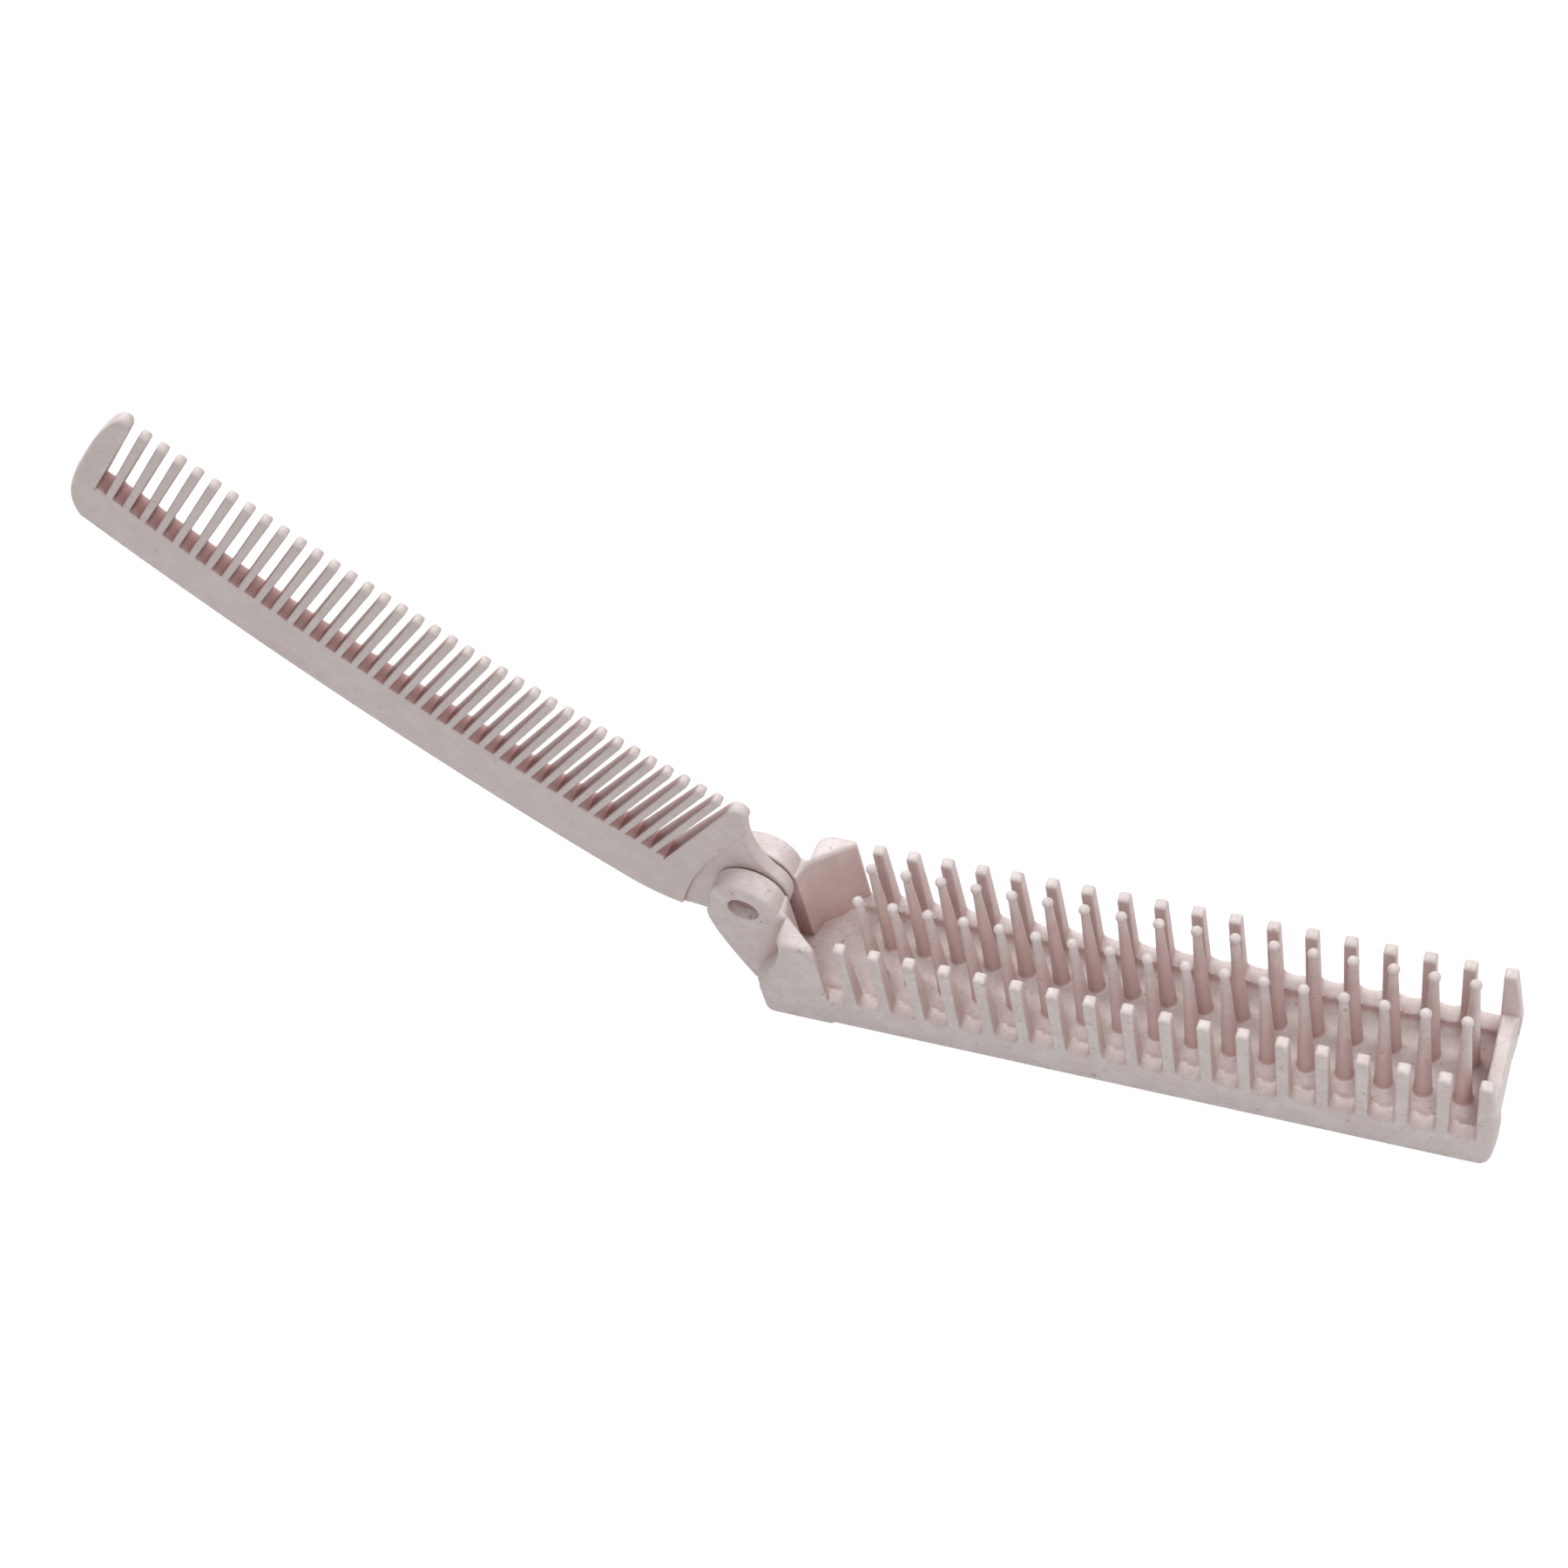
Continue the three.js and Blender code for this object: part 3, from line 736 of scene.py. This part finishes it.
def arched(along, at_hinge, at_end, arch):
    """Height of a line that bows down between its ends, at a distance along the comb."""
    share = (along - first_slot) / slot_span
    return at_hinge + (at_end - at_hinge) * share - arch * 4 * share * (1 - share)


def root_line(along):
    return arched(along, -root_depth, -root_depth, root_arch)


def tip_line(along):
    at_hinge, at_end = comb_tooth_lengths
    return arched(along, at_hinge - root_depth, at_end - root_depth, tip_arch)


def back_line(along):
    at_hinge, at_end = spine_depths
    return arched(along, -root_depth - at_hinge, -root_depth - at_end, back_arch)


def comb_half_at(along, height):
    """Half of the comb's thickness: even over the spine, thinning from the roots to the tips."""
    share = (height - root_line(along)) / (tip_line(along) - root_line(along))
    tip_half = comb_tip_half if first_slot < along < last_slot else guard_tip_half
    return comb_half + (tip_half - comb_half) * min(1, max(0, share))


def comb_ring(along, low, high, trim=0, slim=0, lean=0):
    """Section across the comb, with a round back, from its low to its high edge."""
    room = (high - low) / 2
    low_round = min(back_round, room * 0.95)
    edge = comb_edge if first_slot <= along < last_edge else guard_edge
    high_round = min(edge, room * 0.9)
    low_half = comb_half - slim
    cheek_height = min(max(root_line(along), low + low_round * 1.01), high - high_round * 1.01)
    high_half = max(comb_half_at(along, high) - trim - slim, high_round * 1.02)
    side = arc(low_half - low_round, low + low_round, low_round, 3 * quarter_turn, 4 * quarter_turn, 5)
    side.append((max(comb_half_at(along, cheek_height) - slim, low_round), cheek_height))
    side += arc(high_half - high_round, high - high_round, high_round, 0, quarter_turn, 4)
    section = side + [(-y, height) for y, height in reversed(side)]
    root = root_line(along)
    rise = max(high - root, mm)
    return [(along - lean * max(0, height - root) / rise, y, height) for y, height in section]


def height_on(points, along):
    """Height of a line of points at a distance along the comb."""
    for (x0, z0), (x1, z1) in zip(points, points[1:]):
        if min(x0, x1) <= along <= max(x0, x1) and x0 != x1:
            return z0 + (z1 - z0) * (along - x0) / (x1 - x0)
    return points[-1][1]


first_edge = first_slot - slot_width / 2
last_edge = last_slot + slot_width / 2
apex = tip_line(first_slot) + hinge_guard_rise
guard_side = (first_edge - 2 * hinge_guard_tip, apex - hinge_guard_tip)
neck = [(0, tongue_radius)] + bow((0, tongue_radius), neck_bow, guard_side, 12)
guard_top = neck + arc(
    first_edge - hinge_guard_tip, apex - hinge_guard_tip, hinge_guard_tip, 2 * quarter_turn, 0, 16,
)[1:]
heel = [(first_slot, back_line(first_slot))] + bow(
    (first_slot, back_line(first_slot)), (first_slot / 2, back_line(first_slot / 2)), tongue_heel, 12,
)

body_start = 3.4 * mm
edge_trim = 0.7
comb_rings = []
for along in steps(body_start, guard_side[0], 16)[:-1]:
    comb_rings.append(comb_ring(along, height_on(heel, along), height_on(guard_top, along)))
for turn in steps(2 * quarter_turn, 0, 18)[:-1]:
    along = first_edge - hinge_guard_tip + hinge_guard_tip * math.cos(turn)
    top = apex - hinge_guard_tip + hinge_guard_tip * math.sin(turn)
    near_edge = max(0, along - first_edge + comb_edge)
    comb_rings.append(comb_ring(along, height_on(heel, along), top, near_edge * edge_trim))
comb_rings.append(comb_ring(first_edge, height_on(heel, first_edge), apex - hinge_guard_tip, comb_edge))
comb_rings.append(comb_ring(first_edge, height_on(heel, first_edge), root_line(first_edge)))
for along in steps(first_slot, last_edge, 48):
    comb_rings.append(comb_ring(along, back_line(along), root_line(along)))

end_tip = tip_line(last_slot) + end_guard_rise
end_inner = (last_edge, end_tip - end_guard_drop)
end_crown = (last_edge + end_guard_crown, end_tip)
outer = last_edge + end_guard_width
end_peak = (last_edge + end_guard_crown / 2, end_tip)
end_slope = bow(end_crown, (outer, end_guard_shoulder), (outer, end_guard_bulge), 26)
end_top = [end_inner]
end_top += bow(end_inner, (last_edge + end_guard_crown / 6, end_tip), end_peak, 5)
end_top += bow(end_peak, end_crown, end_slope[4], 8)
end_top += end_slope[5:-1]
end_heel = [(last_edge, back_line(last_edge))] + bow(
    (last_edge, back_line(last_edge)), (outer, end_guard_heel), (outer, end_guard_bulge), 40,
)
for along, top in end_top:
    near_edge = max(0, last_edge + comb_edge - along)
    round_off = max(0, 1 - (outer - along) / back_round)
    slim = back_round * (1 - math.sqrt(max(0, 1 - round_off ** 2)))
    lean = comb_lean * max(0, 1 - (along - last_edge) / end_guard_crown)
    comb_rings.append(comb_ring(along, height_on(end_heel, along), top, near_edge, slim, lean))
comb_back = moulded("comb_back", [skin(comb_rings)], comb_place)

# Pocket: the comb is thinned on both faces where it enters the ears, and the step that this leaves has
# a soft ridge that fits round the ears when the comb is opened straight. The tongue runs between them.
tongue_half = 1 * mm
tongue_rim = 0.35 * mm
pocket_ridge = 0.18 * mm
pocket_reach = 7.15 * mm
stop_gap = 0.5 * mm
pocket_foot = (ear_foot[0] + stop_gap, ear_foot[1])
pocket_edge = [pocket_foot] + bow(
    pocket_foot, (pocket_reach - stop_gap / 2, ear_bulge[1] * 2), (pocket_reach, 0), 12,
)
pocket_outline = [(-first_slot, -2 * first_slot), (ear_foot[0], -2 * first_slot)] + pocket_edge
pocket_outline += [(pocket_reach + stop_gap, 2 * first_slot), (-first_slot, 2 * first_slot)]
pocket_layers = [(tongue_half, 0), (comb_half - pocket_ridge, 0)]
pocket_layers += [
    (comb_half - pocket_ridge * (1 - math.sin(turn)), -pocket_ridge * (1 - math.cos(turn)))
    for turn in steps(0, quarter_turn, 4)[1:]
]
pocket_layers.append((comb_half + overrun, -pocket_ridge))
for side in (-1, 1):
    pocket = moulded("pocket", [skin([
        [(x, side * y, z) for x, z in shrunk(pocket_outline, inset)] for y, inset in pocket_layers
    ])], comb_place)
    comb_back = worked(comb_back, "DIFFERENCE", pocket)

tongue_end = 4.6 * mm
tongue_front = bow(tongue_heel, (-tongue_radius, tongue_heel[1]), (-tongue_radius, 0), 10)
tongue_side = [(tongue_end, height_on(heel, tongue_end)), (tongue_end, height_on(neck, tongue_end))]
tongue_side += [(x, z) for x, z in reversed(neck) if x < tongue_end]
tongue_side += arc(0, 0, tongue_radius, quarter_turn, 2 * quarter_turn, 20)[1:]
tongue_side += list(reversed(tongue_front))[1:]
tongue_side.append(tongue_heel)
tongue_side += [(x, z) for x, z in reversed(heel) if tongue_heel[0] < x < tongue_end]
tongue = moulded(
    "tongue", [slab(tongue_side, -tongue_half, tongue_half, tongue_rim, tongue_rim)], comb_place,
)

# Comb teeth: 35 slim teeth between the guards, thinner at the tips than at the roots and rounded all
# round. A small fillet joins each to the spine, and the row of tips follows the bow of the comb.
comb_tooth_tip_half = 0.65 * mm
comb_tooth_fillet = 0.25 * mm
comb_tooth_root_half = (slot_pitch - slot_width) / 2
comb_tooth_crown = 0.8
comb_tooth_recess = 0.02 * mm


def comb_tooth(number):
    root_at = first_slot + (number + 0.5) * slot_pitch
    root = root_line(root_at)
    tip = tip_line(root_at)
    shoulder = tip - comb_tooth_tip_half
    rings = []
    levels = [(root - comb_edge * 3, comb_tooth_fillet, 0)]
    levels += [
        (root + comb_tooth_fillet * (1 - math.cos(turn)), comb_tooth_fillet * (1 - math.sin(turn)), 0)
        for turn in steps(0, quarter_turn, 3)
    ]
    levels += [(height, 0, 0) for height in steps(root + comb_tooth_fillet, shoulder, 4)[1:]]
    levels += [
        (shoulder + comb_tooth_tip_half * math.sin(turn), 0, turn)
        for turn in steps(0, dome_reach, 6)[1:]
    ]
    for height, flare, turn in levels:
        share = min(1, max(0, (height - root) / (shoulder - root)))
        middle = root_at - comb_lean * share
        half = comb_tooth_root_half + (comb_tooth_tip_half - comb_tooth_root_half) * share + flare
        half -= dome(comb_tooth_tip_half, turn)
        depth = comb_half_at(root_at, height) - comb_tooth_recess
        depth -= dome(comb_tip_half * comb_tooth_crown, turn)
        edge = min(comb_edge, half * edge_share, depth * edge_share)
        plan = rounded_box(middle - half, middle + half, -depth, depth, [edge] * 4)
        rings.append([(x, y, height) for x, y in plan])
    return skin(rings)


comb_teeth = moulded("comb_teeth", [comb_tooth(number) for number in range(slot_count - 1)], comb_place)

# Thumb scoops: a long shallow hollow just above the back edge of each face, for the nail that opens
# the comb. They and the hinge bore are cut last into the one comb moulding.
scoop_place = 67.4 * mm
scoop_inset = 2 * mm
scoop_depth = 0.7 * mm
cutter_half_length = 8.63 * mm
cutter_half_height = 2.3 * mm
cutter_bulge = 2.3 * mm
cutter_sides = 96
cutter_reach = quarter_turn * 0.98
cutter_stand_off = comb_half + cutter_bulge - scoop_depth
cutter_shape = Matrix.Diagonal((cutter_half_length, cutter_bulge, cutter_half_height, 1))
cutter_profile = [
    (math.cos(turn), math.sin(turn)) for turn in steps(-cutter_reach, cutter_reach, 48)
]
scoops = []
for side in (-1, 1):
    cutter_place = Matrix.Translation(
        (scoop_place, side * cutter_stand_off, back_line(scoop_place) + scoop_inset)
    )
    scoops.append(moulded(
        "scoop", [turned(cutter_profile, cutter_sides)], comb_place @ cutter_place @ cutter_shape,
    ))
comb_bore = moulded(
    "comb_bore", [turned([(bore_radius, -half_width), (bore_radius, half_width)], 48)], across(1),
)
comb_moulding = worked(comb_back, "UNION", tongue, comb_teeth)
comb_moulding = worked(comb_moulding, "DIFFERENCE", comb_bore, *scoops)
comb_moulding.name = "comb_moulding"
# Painted shade: the comb is the same pink plastic as the brush, set a little darker for the weaker light
# that reaches its faces.
painted_darker_comb_pink = (0.73, 0.635, 0.622, 1)
comb_plastic = straw_plastic("straw_plastic_comb", painted_darker_comb_pink, 0.5, 0, 0.95)
dressed(comb_moulding, comb_plastic, "comb", "comb_half")

# Hinge pin: a short round pin, pressed through both ears and the tongue. Its ends lie a little below
# the faces of the ears, with a small chamfer. Its colour is painted shade: much darker than the brush's
# pink, for the dark recess round its ends.
pin_radius = 1.95 * mm
pin_recess = 1.4 * mm
pin_chamfer = 0.3 * mm
pin_half_length = ear_outer - pin_recess
# Painted shade: the pin's colour is much darker than the brush's pink, for the shade in the recess round
# its ends.
painted_recess_shade_pink = (0.35, 0.215, 0.207, 1)
hinge_pin = moulded("hinge_pin_turned", [turned([
    (pin_radius - pin_chamfer, -pin_half_length),
    (pin_radius, pin_chamfer - pin_half_length),
    (pin_radius, pin_half_length - pin_chamfer),
    (pin_radius - pin_chamfer, pin_half_length),
], 48)], across(1))
pin_plastic = straw_plastic("straw_plastic_pin", painted_recess_shade_pink, 0.2, 0, 0.5)
dressed(hinge_pin, pin_plastic, "brush", "hinge_pin")

# Table and light: a plain white table that keeps a faint shadow, two broad soft lamps above and
# behind, a weaker one above in front, and a pale room that looks white to the camera.
table_half = 3.0
table_thickness = 10 * mm
table_gap = 0.2 * mm
table = moulded("table", [skin([
    [(x * table_half, y * table_half, height) for x, y in ((-1, -1), (1, -1), (1, 1), (-1, 1))]
    for height in (-table_thickness, -table_gap)
])])


def looked_at(finish):
    """1 for what the camera sees straight on, in a gloss or through something clear, else 0."""
    seen = finish.node("ShaderNodeLightPath", {}, {}, "Is Camera Ray")
    mirrored = finish.node("ShaderNodeLightPath", {}, {}, "Is Glossy Ray")
    through = finish.node("ShaderNodeLightPath", {}, {}, "Is Transmission Ray")
    return seen + mirrored + through


white = Finish(bpy.data.materials.new("white_table"))
paint = white.node("ShaderNodeBsdfDiffuse", {}, {"Color": (0.58, 0.573, 0.57, 1)})
glow = white.node("ShaderNodeEmission", {}, {"Color": (1, 1, 1, 1), "Strength": 1.15})
lit = white.node("ShaderNodeMixShader", {}, {0: looked_at(white) * 0.86, 1: paint, 2: glow})
table.data.materials.append(white.node("ShaderNodeOutputMaterial", {}, {"Surface": lit}))


def lamp(name, size, power, place):
    light = bpy.data.lights.new(name, "AREA")
    light.shape = "DISK"
    light.size = size
    light.energy = power
    stand = bpy.data.objects.new(name, light)
    stand.location = place
    stand.rotation_euler = (-Vector(place)).to_track_quat("-Z", "Y").to_euler()
    bpy.context.scene.collection.objects.link(stand)


lamp("left_window", 0.9, 6.0, (-0.50, 0.42, 0.76))
lamp("right_window", 0.9, 4.2, (0.58, 0.36, 0.73))
lamp("front_fill", 0.4, 3.1, (0.22, -0.74, 0.68))

room = Finish(bpy.data.worlds.new("room"))
air = room.node("ShaderNodeBackground", {}, {
    "Color": (1, 0.99, 0.985, 1),
    "Strength": looked_at(room) * 0.8 + 0.2,
})
bpy.context.scene.world = room.node("ShaderNodeOutputWorld", {}, {"Surface": air})
bpy.context.scene.view_settings.view_transform = "Standard"

# Camera: above and in front of the comb, turned as the photograph shows it.
lens_pixels = 2602
frame_pixels = 1800
sensor = 36
camera_data = bpy.data.cameras.new("camera")
camera_data.sensor_width = sensor
camera_data.lens = lens_pixels / frame_pixels * sensor
camera = bpy.data.objects.new("camera", camera_data)
right = Vector((0.91651, 0.34889, -0.19569))
down = Vector((0.16482, -0.77511, -0.60995))
ahead = Vector((-0.36449, 0.52677, -0.76790))
turned_to = Matrix((right, -down, -ahead)).transposed().to_4x4()
stand_point = Vector((62.20, -148.59, 257.60)) * mm
camera.matrix_world = Matrix.Translation(stand_point) @ turned_to
bpy.context.scene.collection.objects.link(camera)
bpy.context.scene.camera = camera
